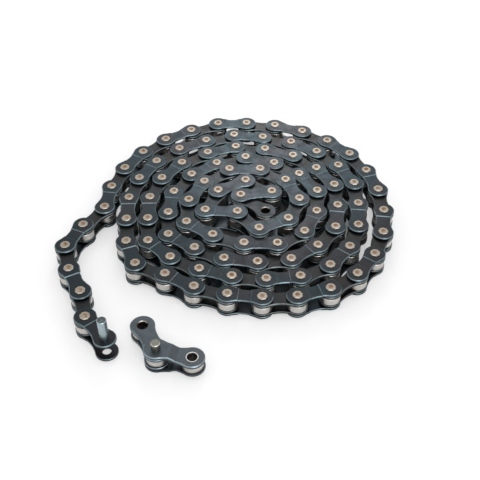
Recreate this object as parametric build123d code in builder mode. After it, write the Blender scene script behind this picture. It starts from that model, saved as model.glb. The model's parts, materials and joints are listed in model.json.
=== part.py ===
from build123d import *
from collections import namedtuple
import math
import os

# Half-inch pitch roller chain lying in a flat coil, with its free end and a half link beside it.
# Millimetres, +Z up. The origin is the middle of the whole part's footprint, on the surface it lies on.

# ---- chain dimensions ----
pitch = 12.7
plate_height = 8.2
waist_height = 5.6
plate_thickness = 1.1
edge_bevel = 0.32
inner_width = 3.3
side_gap = 0.2
step_distance = 3.8
step_depth = 0.25
pin_diameter = 3.4
bore_clearance = 0.05
push_clearance = 0.02
bore_bevel = 0.3
head_overhang = 0.25
head_sides = 8
head_stand = 0.45
head_bevel = 0.25
dimple_diameter = 1.8
dimple_depth = 0.32
roller_diameter = 7.75
roller_clearance = 0.05
roller_bevel = 0.25
collar_wall = 0.65
collar_gap = 0.1

# ---- connecting pin, standing in the chain's open outer end ----
connecting_pin_length = 10.4
connecting_pin_bevel = 0.2

# ---- half link and the loose inner link that it is pinned to ----
loose_plate_height = 8.9
loose_waist_height = 6.4
bushing_wall = 0.4
crank_clearance = 0.55
crank_length = 2.6
crank_fillet = 0.8
stub_pin_rise = 2.9
stub_pin_length = 9.0
stub_pin_bevel = 0.25
loose_ahead = 1.148
loose_aside = 0.878
loose_turn = -13.14
half_link_turn = 51.3

# ---- how the chain lies ----
# The heart is laid link by link from its open inner end; the rings then follow a guide
# round the coil's centre; the free end leaves the last ring by its own turns, in degrees.
# The loose piece's hub lies ahead of the free end's last hole and to its left, in pitches.
heart_start = (9.5, -4.3)
heart_heading = 140.0
heart_turns = [-131, 137, 64, 38, 108, -44, 74, 42]
ring_clearance = 0.06
free_clearance = 0.3
swing_step = 0.5
most_swings = 180
guide_step = 45.0
ring_radii = [
    [22.8, 22.3, 21.8, 20.0, 21.2, 21.0, 22.3, 26.9],
    [30.5, 30.3, 29.6, 28.6, 29.2, 29.5, 30.8, 36.3],
    [38.5, 39.3, 37.6, 37.4, 37.5, 38.0, 39.2, 46.8],
    [46.8, 47.5, 45.6, 46.0, 45.8, 46.6, 48.3, 56.6],
    [56.6, 56.5, 55.4, 54.9, 54.6],
]
leave_angle = 1612.0
tail_turns = [-28, 10, 39, 13, -12, 24]
heart_lift = 2.5
lift_share_of_gap = 0.7
moving_links = 18

# ---- worked out from the sizes above ----
pin_radius = pin_diameter / 2
bore_radius = pin_radius + bore_clearance
collar_radius = bore_radius + collar_wall
bushing_radius = bore_radius + bushing_wall
collar_height = (inner_width - collar_gap) / 2
roller_width = inner_width - 2 * roller_clearance
end_radius = plate_height / 2
loose_end_radius = loose_plate_height / 2
crank_start = loose_end_radius + crank_clearance
lane = plate_height + ring_clearance

lower_outer_z = head_stand
lower_inner_z = lower_outer_z + plate_thickness + side_gap
inner_floor_z = lower_inner_z + plate_thickness
upper_inner_z = inner_floor_z + inner_width
upper_outer_z = upper_inner_z + plate_thickness + side_gap
stack_top_z = upper_outer_z + plate_thickness
pin_length = stack_top_z + head_stand
lift_per_link = lift_share_of_gap * side_gap

Link = namedtuple("Link", "x y heading lift")


# ---- one of each piece ----
def waist_flank(height, waist):
    """Radius of the hollow flank that is tangent to both round ends and just reaches the waist."""
    radius = height / 2
    return (pitch**2 / 4 + waist**2 / 4 - radius**2) / (height - waist)


def half_width(along, height, waist):
    """Half of the plate's width at a distance along the line between its holes."""
    flank = waist_flank(height, waist)
    from_end = min(along, pitch - along)
    if from_end < pitch / 2 * (height / 2) / (height / 2 + flank):
        return math.sqrt((height / 2) ** 2 - from_end**2)
    return waist / 2 + flank - math.sqrt(flank**2 - (along - pitch / 2) ** 2)


def plate_profile(height, waist):
    """Figure-eight outline of a link plate, with its first hole at the origin."""
    flank = waist_flank(height, waist)
    reach = (height / 2) / (height / 2 + flank)
    near_x = pitch / 2 * reach
    far_x = pitch - near_x
    tangent_y = (waist / 2 + flank) * reach
    with BuildSketch() as profile:
        with BuildLine():
            ThreePointArc((near_x, tangent_y), (pitch / 2, waist / 2), (far_x, tangent_y))
            ThreePointArc((far_x, tangent_y), (pitch + height / 2, 0), (far_x, -tangent_y))
            ThreePointArc((far_x, -tangent_y), (pitch / 2, -waist / 2), (near_x, -tangent_y))
            ThreePointArc((near_x, -tangent_y), (-height / 2, 0), (near_x, tangent_y))
        make_face()
    return profile.sketch


def plate_blank(height, waist, thickness):
    """Plate without holes, outer face up, its outer edge well bevelled and its inner edge less."""
    with BuildPart() as blank:
        add(plate_profile(height, waist))
        extrude(amount=thickness)
        chamfer(blank.faces().sort_by(Axis.Z)[-1].edges(), edge_bevel)
        chamfer(blank.faces().sort_by(Axis.Z)[0].edges(), edge_bevel / 2)
    return blank.part


def make_outer_plate():
    """Outer plate, outer face up at plate_thickness, its middle pressed in between two sloped steps."""
    with BuildPart() as lands:
        add(plate_blank(plate_height, waist_height, plate_thickness))
        with BuildSketch(Plane.XZ):
            with BuildLine():
                Polyline(
                    (-plate_height, 0),
                    (step_distance + plate_thickness, 0),
                    (step_distance, plate_thickness),
                    (-plate_height, plate_thickness),
                    close=True,
                )
            make_face()
            mirror(about=Plane.YZ.offset(pitch / 2))
        extrude(amount=plate_height, both=True, mode=Mode.INTERSECT)
    with BuildPart() as plate:
        add(plate_blank(plate_height, waist_height, plate_thickness - step_depth))
        add(lands.part)
        with BuildSketch():
            with Locations((0, 0), (pitch, 0)):
                Circle(pin_radius)
        extrude(amount=plate_thickness, mode=Mode.SUBTRACT)
    return plate.part


def make_inner_plate(height, waist):
    """Inner plate, outer face up, with the two collars that its holes are drawn down into."""
    with BuildPart() as plate:
        add(plate_blank(height, waist, plate_thickness))
        with BuildSketch():
            with Locations((0, 0), (pitch, 0)):
                Circle(collar_radius)
        extrude(amount=-collar_height)
        with BuildSketch(Plane.XY.offset(-collar_height)):
            with Locations((0, 0), (pitch, 0)):
                Circle(bore_radius)
        extrude(amount=collar_height + plate_thickness, mode=Mode.SUBTRACT)
        mouths = plate.faces().sort_by(Axis.Z)[-1].edges().filter_by(GeomType.CIRCLE)
        chamfer(mouths.filter_by(lambda edge: abs(edge.radius - bore_radius) < bore_clearance), bore_bevel)
    return plate.part


def make_roller(sleeve_radius):
    """Roller standing on its end face, on the pin's axis, to turn on collars or on a bushing."""
    with BuildPart() as roller:
        Cylinder(roller_diameter / 2, roller_width, align=(Align.CENTER, Align.CENTER, Align.MIN))
        chamfer(roller.edges(), roller_bevel)
        with BuildSketch():
            Circle(sleeve_radius + roller_clearance)
        extrude(amount=roller_width, mode=Mode.SUBTRACT)
    return roller.part


def make_rivet_pin():
    """Riveted pin: a shank through the link and a peened, dimpled head on each outer plate."""
    half_length = pin_length / 2
    shank_half = half_length - head_stand
    upward = (Align.CENTER, Align.CENTER, Align.MIN)
    with BuildPart() as pin:
        Cylinder(pin_radius, shank_half, align=upward)
        with BuildSketch(Plane.XY.offset(shank_half)):
            RegularPolygon(pin_radius + head_overhang, head_sides)
        extrude(amount=head_stand)
        chamfer(pin.faces().sort_by(Axis.Z)[-1].edges(), head_bevel)
        with Locations((0, 0, half_length - dimple_depth)):
            Cone(0, dimple_diameter / 2, dimple_depth, align=upward, mode=Mode.SUBTRACT)
        mirror(about=Plane.XY)
    return pin.part.moved(Location((0, 0, half_length)))


def make_plain_pin(length, bevel):
    """Straight pin that can be pushed along its holes, bevelled at both ends, on its lower end."""
    with BuildPart() as pin:
        Cylinder(pin_radius - push_clearance, length, align=(Align.CENTER, Align.CENTER, Align.MIN))
        chamfer(pin.edges().filter_by(GeomType.CIRCLE), bevel)
    return pin.part


def make_bushing():
    """Bushing that holds the half link's narrow ends apart, flush with their outer faces."""
    with BuildPart() as bushing:
        with BuildSketch():
            Circle(bushing_radius)
            Circle(bore_radius, mode=Mode.SUBTRACT)
        extrude(amount=inner_width + 2 * plate_thickness)
        rims = bushing.edges().filter_by(GeomType.CIRCLE).sort_by(SortBy.RADIUS)[:2]
        chamfer(rims, bore_bevel / 2)
    return bushing.part


def make_cranked_plate():
    """Half link's plate, outer face up: wide end at the origin, narrow end one step lower."""
    drop = plate_thickness + side_gap
    left = -loose_plate_height
    right = pitch + loose_plate_height
    crank_end = crank_start + crank_length
    with BuildPart() as plate:
        add(plate_profile(loose_plate_height, loose_waist_height))
        extrude(amount=drop + plate_thickness)
        with BuildSketch(Plane.XZ) as side:
            with BuildLine():
                Polyline(
                    (left, drop),
                    (crank_start, drop),
                    (crank_end, 0),
                    (right, 0),
                    (right, plate_thickness),
                    (crank_end, plate_thickness),
                    (crank_start, drop + plate_thickness),
                    (left, drop + plate_thickness),
                    close=True,
                )
            make_face()
            bends = side.vertices().filter_by(lambda corner: 0 < corner.X < pitch)
            fillet(bends, crank_fillet)
        extrude(amount=loose_plate_height, both=True, mode=Mode.INTERSECT)
        outer_side = plate.faces().filter_by(lambda face: face.normal_at().Z > 0.5)
        chamfer(outer_side.edges().filter_by(GeomType.LINE, reverse=True), edge_bevel)
        with BuildSketch():
            Circle(pin_radius)
            with Locations((pitch, 0)):
                Circle(bushing_radius)
        extrude(amount=drop + plate_thickness, mode=Mode.SUBTRACT)
    return plate.part


# ---- laying the chain out ----
def guide_radius(angle):
    """Distance of the coil's line from its centre, smooth between the hand-set directions."""
    radii = [radius for ring in ring_radii for radius in ring]
    per_ring = round(360 / guide_step)
    place = angle / guide_step

    def radius_at(index):
        if index < 0:
            return radii[0]
        if index < len(radii):
            return radii[index]
        return radius_at(index - per_ring) + lane

    index = math.floor(place)
    part = place - index
    before, start, end, after = [radius_at(index + offset) for offset in (-1, 0, 1, 2)]
    rise = (end - before) / 2
    fall = (after - start) / 2
    cubic = 2 * start - 2 * end + rise + fall
    square = 3 * end - 3 * start - 2 * rise - fall
    return ((cubic * part + square) * part + rise) * part + start


def outline_discs(link, waisted):
    """Discs down a link's middle that fill its outline, or the straight-sided slot around it."""
    direction = math.radians(link.heading)
    discs = []
    for eighth in range(9):
        along = pitch * eighth / 8
        radius = half_width(along, plate_height, waist_height) if waisted else end_radius
        if eighth in (0, 8):
            radius = max(radius, roller_diameter / 2)
        discs.append((link.x + along * math.cos(direction), link.y + along * math.sin(direction), radius))
    return discs


def is_clear(link, laid, waisted, clearance):
    """Whether a link keeps a clearance from every link laid before, apart from its neighbour."""
    discs = outline_discs(link, waisted)
    for other in laid[:-1]:
        if math.hypot(link.x - other.x, link.y - other.y) > 2 * pitch + plate_height + clearance:
            continue
        for x, y, radius in discs:
            for other_x, other_y, other_radius in outline_discs(other, waisted):
                if math.hypot(x - other_x, y - other_y) < radius + other_radius + clearance:
                    return False
    return True


def link_end(link):
    """Far pin of a link."""
    direction = math.radians(link.heading)
    return link.x + pitch * math.cos(direction), link.y + pitch * math.sin(direction)


def heading_along_guide(x, y, angle):
    """Heading that puts the link's far pin on the guide, one pitch ahead, and the angle reached."""
    nearest = angle
    farthest = angle + 120.0
    for _ in range(40):
        middle = (nearest + farthest) / 2
        radius = guide_radius(middle)
        guide_x = radius * math.cos(math.radians(middle))
        guide_y = radius * math.sin(math.radians(middle))
        if math.hypot(guide_x - x, guide_y - y) < pitch:
            nearest = middle
        else:
            farthest = middle
    return math.degrees(math.atan2(guide_y - y, guide_x - x))


def lay_chain():
    """Lay every link in turn, each swung aside until it is clear of the ones before it."""
    laid = []
    x, y = heart_start
    outward = [-swing_step * count for count in range(most_swings)]
    either_way = sorted(outward + [-swing for swing in outward], key=abs)
    free_angle = leave_angle - math.degrees((moving_links - len(tail_turns)) * pitch / ring_radii[-1][0])

    def lay(heading, swings, waisted=True, clearance=ring_clearance):
        nonlocal x, y
        lift = max(0.0, heart_lift - lift_per_link * max(0, len(laid) - len(heart_turns)))
        for swing in swings:
            link = Link(x, y, heading + swing, lift)
            if is_clear(link, laid, waisted, clearance):
                break
        laid.append(link)
        x, y = link_end(link)

    lay(heart_heading, either_way)
    for turn in heart_turns:
        lay(laid[-1].heading + turn, either_way)
    angle = math.degrees(math.atan2(y, x))
    while angle < leave_angle or (len(laid) + len(tail_turns)) % 2:
        free = angle > free_angle
        heading = heading_along_guide(x, y, angle)
        lay(heading, outward, waisted=not free, clearance=free_clearance if free else ring_clearance)
        step = math.degrees(math.atan2(y, x)) - angle
        angle += (step + 180) % 360 - 180
    for turn in tail_turns:
        lay(laid[-1].heading + turn, outward, waisted=False, clearance=free_clearance)
    return laid


laid_links = lay_chain()
last_link = laid_links[-1]
tail_x, tail_y = link_end(last_link)
ahead = math.radians(last_link.heading)
hub_x = tail_x + pitch * (loose_ahead * math.cos(ahead) - loose_aside * math.sin(ahead))
hub_y = tail_y + pitch * (loose_ahead * math.sin(ahead) + loose_aside * math.cos(ahead))
loose_heading = last_link.heading + loose_turn
away = math.radians(loose_heading)
laid_loose = Link(hub_x - pitch * math.cos(away), hub_y - pitch * math.sin(away), loose_heading, -head_stand)
laid_half = Link(hub_x, hub_y, loose_heading + half_link_turn, -head_stand)

# The footprint is that of the round plate ends, and its middle becomes the origin.
chain_ends = [(link.x, link.y, end_radius) for link in laid_links] + [(tail_x, tail_y, end_radius)]
loose_ends = [(laid_loose.x, laid_loose.y), (hub_x, hub_y), link_end(laid_half)]
footprint = chain_ends + [(x, y, loose_end_radius) for x, y in loose_ends]
middle_x = (min(x - r for x, y, r in footprint) + max(x + r for x, y, r in footprint)) / 2
middle_y = (min(y - r for x, y, r in footprint) + max(y + r for x, y, r in footprint)) / 2


def centred(link):
    """The same link with the footprint's middle as origin."""
    return Link(link.x - middle_x, link.y - middle_y, link.heading, link.lift)


links = [centred(link) for link in laid_links]
loose_inner = centred(laid_loose)
half_link = centred(laid_half)
link_count = len(links)
first_moving = link_count - moving_links


def upper_place(link, height, along=0.0):
    """Location of a piece on a link, right way up, at a height and a distance from the first pin."""
    base = Location((link.x, link.y, link.lift), (0, 0, link.heading))
    return base * Location((along, 0, height))


def lower_place(link, height):
    """The same, turned over about the link's long axis, for the plates underneath."""
    return upper_place(link, height) * Location((0, 0, 0), (180, 0, 0))


def export_group(name, piece, places):
    """Write one node: a copy of the piece at each place, as separate solids."""
    with BuildPart() as group:
        with Locations(*places):
            add(piece)
    group.part.label = name
    export_step(group.part, f"parts/{name}.step")


def outer_places(chosen):
    """Places of the upper and the lower outer plates of some links."""
    upper = [upper_place(link, upper_outer_z) for link in chosen]
    lower = [lower_place(link, lower_outer_z + plate_thickness) for link in chosen]
    return upper, lower


def inner_places(chosen):
    """Places of the upper and the lower inner plates of some links."""
    upper = [upper_place(link, upper_inner_z) for link in chosen]
    lower = [lower_place(link, lower_inner_z + plate_thickness) for link in chosen]
    return upper, lower


def roller_places(chosen):
    """Places of the two rollers of each inner link."""
    height = inner_floor_z + roller_clearance
    return [upper_place(link, height, along) for link in chosen for along in (0, pitch)]


def pin_places(chosen):
    """Places of the two riveted pins of each outer link."""
    return [upper_place(link, 0, along) for link in chosen for along in (0, pitch)]


os.makedirs("parts", exist_ok=True)
outer_plate = make_outer_plate()
inner_plate = make_inner_plate(plate_height, waist_height)
roller = make_roller(collar_radius)
rivet_pin = make_rivet_pin()

# ---- the coil: every link between the open inner end and the free outer stretch ----
coil_inner = links[2:first_moving:2]
coil_outer = links[1:first_moving:2]
outer_upper, outer_lower = outer_places(coil_outer)
inner_upper, inner_lower = inner_places(coil_inner)
export_group("outer_plates_upper", outer_plate, outer_upper)
export_group("outer_plates_lower", outer_plate, outer_lower)
export_group("inner_plates_upper", inner_plate, inner_upper)
export_group("inner_plates_lower", inner_plate, inner_lower)
export_group("coil_rollers", roller, roller_places(coil_inner))
export_group("coil_pins", rivet_pin, pin_places(coil_outer))

# ---- the open inner end ----
end_upper, end_lower = inner_places(links[:1])
export_group("inner_end_plates", inner_plate, end_upper + end_lower)
export_group("inner_end_rollers", roller, roller_places(links[:1]))

# ---- the free outer stretch, link by link ----
for number, link in enumerate(links[first_moving:], start=1):
    name = f"tail_link_{number:02d}"
    if (first_moving + number - 1) % 2 == 0:
        upper, lower = inner_places([link])
        export_group(f"{name}_plates", inner_plate, upper + lower)
        export_group(f"{name}_rollers", roller, roller_places([link]))
    else:
        upper, lower = outer_places([link])
        export_group(f"{name}_plates", outer_plate, upper + lower)
        riveted = pin_places([link])
        if number == moving_links:
            riveted = riveted[:1]
        export_group(f"{name}_pins", rivet_pin, riveted)

# ---- the connecting pin, held by the last upper plate alone ----
connecting_pin = make_plain_pin(connecting_pin_length, connecting_pin_bevel)
export_group("connecting_pin", connecting_pin, [upper_place(links[-1], upper_outer_z, pitch)])

# ---- the loose inner link and the half link pinned to it ----
loose_plate = make_inner_plate(loose_plate_height, loose_waist_height)
loose_upper, loose_lower = inner_places([loose_inner])
export_group("loose_inner_plate_upper", loose_plate, loose_upper)
export_group("loose_inner_plate_lower", loose_plate, loose_lower)
far_roller, hub_roller = roller_places([loose_inner])
export_group("loose_end_roller", roller, [far_roller])
export_group("loose_hub_roller", roller, [hub_roller])

cranked_plate = make_cranked_plate()
crank_top = [upper_place(half_link, upper_inner_z)]
crank_bottom = [lower_place(half_link, lower_inner_z + plate_thickness)]
export_group("half_link_plate_upper", cranked_plate, crank_top)
export_group("half_link_plate_lower", cranked_plate, crank_bottom)
export_group("half_link_bushing", make_bushing(), [upper_place(half_link, lower_inner_z, pitch)])
bushing_roller = make_roller(bushing_radius)
export_group("half_link_roller", bushing_roller, [upper_place(half_link, inner_floor_z + roller_clearance, pitch)])
stub_pin = make_plain_pin(stub_pin_length, stub_pin_bevel)
stub_bottom = stack_top_z + stub_pin_rise - stub_pin_length
export_group("half_link_pin", stub_pin, [upper_place(half_link, stub_bottom)])

print(f"{link_count} links, coil line {link_count * pitch:.0f} mm long")
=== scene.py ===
import json
import math

import bpy
from mathutils import Matrix, Vector

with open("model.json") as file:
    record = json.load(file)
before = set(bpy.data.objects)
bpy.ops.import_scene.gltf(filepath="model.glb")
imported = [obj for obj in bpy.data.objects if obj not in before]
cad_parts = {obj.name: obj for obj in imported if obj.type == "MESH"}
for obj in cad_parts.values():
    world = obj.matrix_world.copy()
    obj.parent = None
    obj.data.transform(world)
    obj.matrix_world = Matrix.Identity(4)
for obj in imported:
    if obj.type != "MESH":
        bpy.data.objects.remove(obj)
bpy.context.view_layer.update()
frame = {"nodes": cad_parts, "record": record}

MM = 0.001


# ---------------------------------------------------------------- node graph helpers
class Graph:
    """Short calls for building a node tree. A value may be a number, a colour or another socket."""

    def __init__(self, tree):
        self.tree = tree
        tree.nodes.clear()

    def add(self, kind, **settings):
        node = self.tree.nodes.new(kind)
        for key, value in settings.items():
            setattr(node, key, value)
        return node

    def link(self, source, target):
        if isinstance(source, bpy.types.NodeSocket):
            self.tree.links.new(source, target)
        else:
            target.default_value = source

    def math(self, operation, a, b=0.0):
        node = self.add("ShaderNodeMath", operation=operation)
        self.link(a, node.inputs[0])
        self.link(b, node.inputs[1])
        return node.outputs[0]

    def scaled(self, value, factor, offset=0.0):
        """value * factor + offset."""
        node = self.add("ShaderNodeMath", operation="MULTIPLY_ADD")
        self.link(value, node.inputs[0])
        self.link(factor, node.inputs[1])
        self.link(offset, node.inputs[2])
        return node.outputs[0]

    def mean(self, a, b):
        return self.scaled(self.math("ADD", a, b), 0.5)

    def inverse(self, value):
        return self.math("SUBTRACT", 1.0, value)

    def ramp(self, value, low, high):
        """0 below low, 1 above high, smooth between."""
        node = self.add("ShaderNodeMapRange", interpolation_type="SMOOTHSTEP")
        self.link(value, node.inputs["Value"])
        self.link(low, node.inputs["From Min"])
        self.link(high, node.inputs["From Max"])
        return node.outputs[0]

    def band(self, value, rise, fall):
        """1 between the two ramps, 0 before the rise and after the fall."""
        return self.math("MULTIPLY", self.ramp(value, *rise), self.inverse(self.ramp(value, *fall)))

    def mix(self, factor, a, b):
        """Colour a at factor 0, colour b at factor 1."""
        node = self.add("ShaderNodeMix", data_type="RGBA")
        self.link(factor, node.inputs[0])
        self.link(a, node.inputs[6])
        self.link(b, node.inputs[7])
        return node.outputs[2]

    def mix_shaders(self, factor, a, b):
        """Shader a at factor 0, shader b at factor 1."""
        node = self.add("ShaderNodeMixShader")
        for source, target in zip((factor, a, b), node.inputs):
            self.link(source, target)
        return node.outputs[0]

    def place(self):
        """Where the surface is in metres, carried along with its body."""
        return self.add("ShaderNodeTexCoord").outputs["Object"]

    def part_along(self, vector, axis):
        """The X, Y or Z part of a vector."""
        split = self.add("ShaderNodeSeparateXYZ")
        self.link(vector, split.inputs[0])
        return split.outputs[axis]

    def normal_along(self, axis):
        """The X, Y or Z part of a face's direction."""
        return self.part_along(self.add("ShaderNodeNewGeometry").outputs["True Normal"], axis)

    def upness(self):
        """How far a face looks up or down: 1 on flat tops, 0 on upright sides."""
        return self.math("ABSOLUTE", self.normal_along("Z"))

    def per_face(self):
        """One random number for each separate face of each plate, roller or pin."""
        return self.add("ShaderNodeNewGeometry").outputs["Random Per Island"]

    def near_axes(self, places, inside, outside):
        """1 closer than inside to an upright axis at one of the places, 0 beyond outside."""
        flat = self.add("ShaderNodeVectorMath", operation="MULTIPLY")
        self.link(self.place(), flat.inputs[0])
        self.link((1.0, 1.0, 0.0), flat.inputs[1])
        nearest = outside
        for x, y in places:
            apart = self.add("ShaderNodeVectorMath", operation="DISTANCE")
            self.link(flat.outputs[0], apart.inputs[0])
            self.link((x, y, 0.0), apart.inputs[1])
            nearest = self.math("MINIMUM", nearest, apart.outputs["Value"])
        return self.inverse(self.ramp(nearest, inside, outside))

    def noise(self, scale, detail=3.0, stretch=(1, 1, 1)):
        """Noise over the piece: scale is in features a metre."""
        mapping = self.add("ShaderNodeMapping")
        self.link(stretch, mapping.inputs["Scale"])
        self.link(self.place(), mapping.inputs["Vector"])
        node = self.add("ShaderNodeTexNoise")
        self.link(scale, node.inputs["Scale"])
        self.link(detail, node.inputs["Detail"])
        self.link(NOISE_ROUGHNESS, node.inputs["Roughness"])
        self.link(mapping.outputs[0], node.inputs["Vector"])
        return node.outputs[0]

    def patches(self, scale, low, high, detail=3.0):
        """Soft-edged patches: 0 where the noise is below low, 1 where it is above high."""
        return self.ramp(self.noise(scale, detail), low, high)


class Surface(Graph):
    """One material's node tree, with a principled shader joined to its output."""

    def __init__(self, name):
        self.material = bpy.data.materials.new(name)
        self.material.use_nodes = True
        super().__init__(self.material.node_tree)
        self.shader = self.add("ShaderNodeBsdfPrincipled")
        self.output = self.add("ShaderNodeOutputMaterial")
        self.link(self.shader.outputs[0], self.output.inputs[0])

    def set(self, **values):
        """Values of the shader's inputs, by name with _ for each space."""
        for key, value in values.items():
            self.link(value, self.shader.inputs[key.replace("_", " ")])

    def bump(self, height, strength, distance):
        node = self.add("ShaderNodeBump")
        self.link(strength, node.inputs["Strength"])
        self.link(distance, node.inputs["Distance"])
        self.link(height, node.inputs["Height"])
        self.link(node.outputs[0], self.shader.inputs["Normal"])


def grey(value):
    return (value, value, value, 1.0)


def rgb(red, green, blue):
    return (red, green, blue, 1.0)


# ---------------------------------------------------------------- materials
NOISE_ROUGHNESS = 0.55

# noise scales, in features a metre
DRIFT_SCALE = 55.0
SMUDGE_SCALE = 260.0
TURNING_SCALE = 300.0
WEAR_SCALE = 420.0
MARK_SCALE = 900.0
GRAIN_SCALE = 1500.0
TEXTURE_SCALE = 2600.0

# the upness of flat ends, of bevels, and of the shallow hollow in a rivet head
FLAT = (0.985, 0.995)
BEVEL = ((0.3, 0.5), (0.78, 0.86))
HOLLOW = ((0.86, 0.9), (0.97, 0.99))

# the empty holes, at the chain's inner end and in the loose piece, and how far from their axes the
# rims' colours reach;
# at the plates' bores BORE_BROWN is painted shade over rim and wall, and BORE_GLINT a painted glint
# on the bevel
OPEN_BORES = [
    mount["pos_m"][:2] for mount in frame["record"]["mounts"] if mount["kind"] == "bore"
]
PLATE_RIM = (2.05 * MM, 2.2 * MM)
BUSHING_RIM = (2.15 * MM, 2.35 * MM)
BORE_BROWN = rgb(0.060, 0.050, 0.042)
BORE_GLINT = rgb(0.34, 0.32, 0.29)
GLINT_TILT = (0.3, 0.55)

# plates have painted shade, darker towards the front, and painted light, lighter and bluer in the
# coil's heart
COIL_CENTRE = (5.4 * MM, 9.9 * MM)
FRONT_SHADE_AMOUNT = 0.4
FRONT_SHADE_FADE = (-25 * MM, 45 * MM)
FRONT_SHADE_BLACK = grey(0.008)
HEART_LIGHT_AMOUNT = 0.45
HEART_LIGHT_EDGE = (14 * MM, 34 * MM)
HEART_LIT_BLUE = rgb(0.054, 0.066, 0.077)
GRIME = grey(0.02)
GRIME_AMOUNT = 0.4
PLATE_ROUGHNESS_SPREAD = 0.16
TURNED_ROUGHNESS_SPREAD = 0.18


def plate_steel(name, body, tint, edge, rough):
    """Blued plate: plum patches, painted front shade and heart light, wear and painted highlight on
    bevels, painted bore shade and glint, fine grain.
    """
    g = Surface(name)
    drift = g.patches(DRIFT_SCALE, 0.5, 0.62, detail=1.0)
    by_face = g.ramp(g.per_face(), 0.5, 0.95)
    shade = g.mix(g.mean(drift, by_face), body, tint)

    # painted shade: the plates darken towards the front of the coil
    front_shaded = g.inverse(g.ramp(g.part_along(g.place(), "Y"), *FRONT_SHADE_FADE))
    shade = g.mix(g.scaled(front_shaded, FRONT_SHADE_AMOUNT), shade, FRONT_SHADE_BLACK)
    # painted light: the plates turn lighter and bluer in the coil's heart
    heart_lit = g.near_axes([COIL_CENTRE], *HEART_LIGHT_EDGE)
    shade = g.mix(g.scaled(heart_lit, HEART_LIGHT_AMOUNT), shade, HEART_LIT_BLUE)

    grain = g.patches(GRAIN_SCALE, 0.35, 0.8, detail=5.0)
    smudge = g.patches(SMUDGE_SCALE, 0.35, 0.75)
    shade = g.mix(g.scaled(g.mean(grain, smudge), GRIME_AMOUNT), shade, GRIME)

    # bevels take the edge colour in noisy patches: partly wear, partly painted highlight
    bevel = g.band(g.upness(), *BEVEL)
    worn = g.patches(WEAR_SCALE, 0.2, 0.62)
    shade = g.mix(g.math("MULTIPLY", bevel, g.scaled(worn, 0.65, 0.35)), shade, edge)

    # painted shade darkens the open bores' rims and walls to brown; a painted glint lights the
    # bevel where it faces the front
    to_front = g.ramp(g.scaled(g.normal_along("Y"), -1.0), *GLINT_TILT)
    rim = g.mix(g.math("MULTIPLY", bevel, to_front), BORE_BROWN, BORE_GLINT)
    shade = g.mix(g.near_axes(OPEN_BORES, *PLATE_RIM), shade, rim)

    g.set(
        Base_Color=shade,
        Metallic=1.0,
        Roughness=g.scaled(smudge, PLATE_ROUGHNESS_SPREAD, rough),
        Coat_Weight=0.12,
        Coat_Roughness=0.3,
    )
    texture = g.math(
        "ADD", g.noise(TEXTURE_SCALE, detail=4.0), g.noise(WEAR_SCALE, detail=2.0)
    )
    g.bump(texture, strength=0.2, distance=0.04 * MM)
    return g.material


def turned_steel(
    name, body, dark, rough, top=None, slope=None, edge=None, outer=None, grain=(1, 1, 22)
):
    """Bare steel with fine marks round its sides, dulled in patches.

    top is the colour of its flat ends, painted shade on the rivets and the connecting pin, slope
    that of the shallow hollow in a rivet head, edge that of its bevels, a painted highlight, and
    outer that of an end's blued rim away from the bore. grain stretches the marks.
    """
    g = Surface(name)
    up = g.upness()
    patch = g.patches(WEAR_SCALE, 0.3, 0.75)
    dulled = g.math("MULTIPLY", patch, g.scaled(g.per_face(), 0.35, 0.15))
    shade = g.mix(dulled, body, dark)
    if slope:
        hollow = g.math("MULTIPLY", g.band(up, *HOLLOW), g.scaled(patch, 0.35, 0.65))
        shade = g.mix(hollow, shade, slope)
    if edge:
        shade = g.mix(g.band(up, *BEVEL), shade, edge)
    if top:
        mark = g.scaled(g.patches(MARK_SCALE, 0.3, 0.7), 0.3, 0.7)
        shade = g.mix(g.math("MULTIPLY", g.ramp(up, *FLAT), mark), shade, top)
    if outer:
        shade = g.mix(g.near_axes(OPEN_BORES, *BUSHING_RIM), outer, shade)

    turning = g.noise(TURNING_SCALE, stretch=grain)
    g.set(
        Base_Color=shade,
        Metallic=1.0,
        Roughness=g.scaled(turning, TURNED_ROUGHNESS_SPREAD, rough),
    )
    g.bump(turning, strength=0.2, distance=0.03 * MM)
    return g.material


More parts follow.
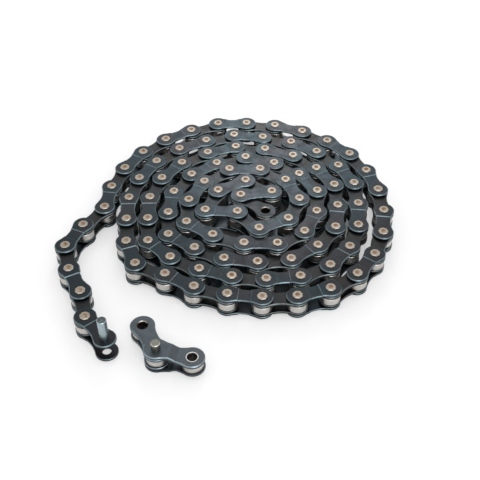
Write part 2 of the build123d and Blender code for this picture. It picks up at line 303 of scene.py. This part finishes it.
# edge is the colour of the plates' bevels, partly wear and partly painted highlight
PLATES = {
    "outer_plate_steel": dict(
        body=rgb(0.027, 0.045, 0.054),
        tint=rgb(0.047, 0.041, 0.047),
        edge=rgb(0.16, 0.215, 0.24),
        rough=0.36,
    ),
    "inner_plate_steel": dict(
        body=rgb(0.034, 0.039, 0.040),
        tint=rgb(0.043, 0.038, 0.037),
        edge=rgb(0.14, 0.17, 0.18),
        rough=0.40,
    ),
    "half_link_steel": dict(
        body=rgb(0.140, 0.172, 0.195),
        tint=rgb(0.150, 0.155, 0.170),
        edge=rgb(0.27, 0.34, 0.38),
        rough=0.36,
    ),
}
TURNED = {
    "roller_steel": dict(
        body=rgb(0.60, 0.58, 0.55),
        dark=rgb(0.32, 0.29, 0.26),
        rough=0.26,
    ),
    # painted shade: each rivet head's flat top is darker than its bevel and sides
    "rivet_steel": dict(
        body=rgb(0.46, 0.42, 0.37),
        dark=rgb(0.30, 0.25, 0.20),
        rough=0.34,
        top=rgb(0.30, 0.255, 0.21),
        slope=rgb(0.20, 0.11, 0.055),
    ),
    # painted shade: the connecting pin's flat ends are much darker than its sides
    "connecting_pin_steel": dict(
        body=rgb(0.36, 0.45, 0.48),
        dark=rgb(0.16, 0.18, 0.19),
        rough=0.24,
        top=rgb(0.060, 0.064, 0.068),
    ),
    # painted highlight: the stub pin's bevel is lighter than its sides
    "stub_pin_steel": dict(
        body=rgb(0.25, 0.25, 0.22),
        dark=rgb(0.07, 0.07, 0.06),
        rough=0.30,
        top=rgb(0.20, 0.195, 0.17),
        edge=rgb(0.50, 0.49, 0.44),
        grain=(6, 6, 0.1),
    ),
    # painted shade: the bushing's sides, seen only inside its bore, are darkened
    "bushing_steel": dict(
        body=rgb(0.16, 0.15, 0.14),
        dark=rgb(0.06, 0.055, 0.05),
        rough=0.26,
        top=rgb(0.78, 0.76, 0.73),
        outer=rgb(0.16, 0.19, 0.21),
    ),
}
MATERIALS = {slot: plate_steel(slot, **look) for slot, look in PLATES.items()}
MATERIALS.update({slot: turned_steel(slot, **look) for slot, look in TURNED.items()})
for subpart in frame["record"]["subparts"]:
    node = frame["nodes"][subpart["node"]]
    node.data.materials.clear()
    node.data.materials.append(MATERIALS[subpart["material_slot"]])


# ---------------------------------------------------------------- stage
TABLE_HALF = 3.0
TABLE_WHITE = grey(0.95)
COIL_SHADE = grey(0.15)
COIL_EDGE = (38 * MM, 52 * MM)
SHADOW_LIFT = 0.45
BLANK_FROM = (160 * MM, 420 * MM)
WORLD_FILL = 0.9


def make_table():
    """White table with painted shadow darkening it under the coil, and the object's shadow lifted
    towards white.

    The camera sees SHADOW_LIFT of plain white mixed in, none of it under the coil, and all white
    far from the object.
    """
    half = TABLE_HALF
    corners = [(-half, -half, 0), (half, -half, 0), (half, half, 0), (-half, half, 0)]
    mesh = bpy.data.meshes.new("table_top")
    mesh.from_pydata(corners, [], [(0, 1, 2, 3)])
    table = bpy.data.objects.new("table_top", mesh)
    bpy.context.scene.collection.objects.link(table)

    g = Surface("table_white")
    under_coil = g.near_axes([COIL_CENTRE], *COIL_EDGE)
    g.set(
        Base_Color=g.mix(under_coil, TABLE_WHITE, COIL_SHADE),
        Roughness=0.9,
        Specular_IOR_Level=0.1,
    )
    far = g.inverse(g.near_axes([COIL_CENTRE], *BLANK_FROM))
    near_lift = g.scaled(under_coil, -SHADOW_LIFT, SHADOW_LIFT)
    lift = g.math("ADD", near_lift, g.scaled(far, 1.0 - SHADOW_LIFT))
    seen = g.math("MULTIPLY", g.add("ShaderNodeLightPath").outputs["Is Camera Ray"], lift)
    glow = g.add("ShaderNodeEmission").outputs[0]
    g.link(g.mix_shaders(seen, g.shader.outputs[0], glow), g.output.inputs[0])
    mesh.materials.append(g.material)


def make_world():
    """Plain light from all round, which the camera, the metal and glass see as white."""
    world = bpy.data.worlds.new("studio")
    bpy.context.scene.world = world
    world.use_nodes = True
    g = Graph(world.node_tree)
    fill = g.add("ShaderNodeBackground")
    g.link(grey(WORLD_FILL), fill.inputs[0])
    white = g.add("ShaderNodeBackground")
    g.link(grey(1.0), white.inputs[0])
    paths = g.add("ShaderNodeLightPath").outputs
    seen = g.math("MAXIMUM", paths["Is Camera Ray"], paths["Is Glossy Ray"])
    seen = g.math("MAXIMUM", seen, paths["Is Transmission Ray"])
    shown = g.mix_shaders(seen, fill.outputs[0], white.outputs[0])
    g.link(shown, g.add("ShaderNodeOutputWorld").inputs[0])


def area_light(name, place, target, size, power):
    """A round lamp, aimed at the target."""
    light = bpy.data.lights.new(name, "AREA")
    light.shape = "DISK"
    light.size = size
    light.energy = power
    lamp = bpy.data.objects.new(name, light)
    bpy.context.scene.collection.objects.link(lamp)
    lamp.location = place
    lamp.rotation_euler = (Vector(target) - Vector(place)).to_track_quat("-Z", "Y").to_euler()


make_table()
make_world()
area_light(
    "back_softbox", place=(0.03, 0.42, 0.32), target=(0.0, 0.03, 0.005), size=0.14, power=0.34
)
area_light(
    "front_softbox", place=(0.25, -0.75, 0.75), target=(0.0, 0.0, 0.005), size=0.6, power=3.0
)

# ---------------------------------------------------------------- camera
SENSOR_WIDTH = 36.0
CAMERA_LENS = 63.7125
CAMERA_ELEVATION = math.radians(44.02)
CAMERA_ROLL = math.radians(-0.516)
CAMERA_DISTANCE = 0.32465
CAMERA_AIM = Vector((0.00476, -0.010544, 0.009))
CAMERA_NEAR = 0.01


def make_camera():
    """The photo's camera, looking from the front and above, slightly rolled."""
    data = bpy.data.cameras.new("photo_camera")
    camera = bpy.data.objects.new("photo_camera", data)
    bpy.context.scene.collection.objects.link(camera)
    data.sensor_width = SENSOR_WIDTH
    data.lens = CAMERA_LENS
    data.clip_start = CAMERA_NEAR
    forward = Vector((0.0, math.cos(CAMERA_ELEVATION), -math.sin(CAMERA_ELEVATION)))
    up = Vector((0.0, math.sin(CAMERA_ELEVATION), math.cos(CAMERA_ELEVATION)))
    right = Vector((1.0, 0.0, 0.0))
    x_axis = right * math.cos(CAMERA_ROLL) + up * math.sin(CAMERA_ROLL)
    y_axis = up * math.cos(CAMERA_ROLL) - right * math.sin(CAMERA_ROLL)
    turned = Matrix((x_axis, y_axis, -forward)).transposed().to_4x4()
    camera.matrix_world = Matrix.Translation(CAMERA_AIM - forward * CAMERA_DISTANCE) @ turned
    bpy.context.scene.camera = camera


make_camera()
bpy.context.scene.view_settings.view_transform = "Standard"
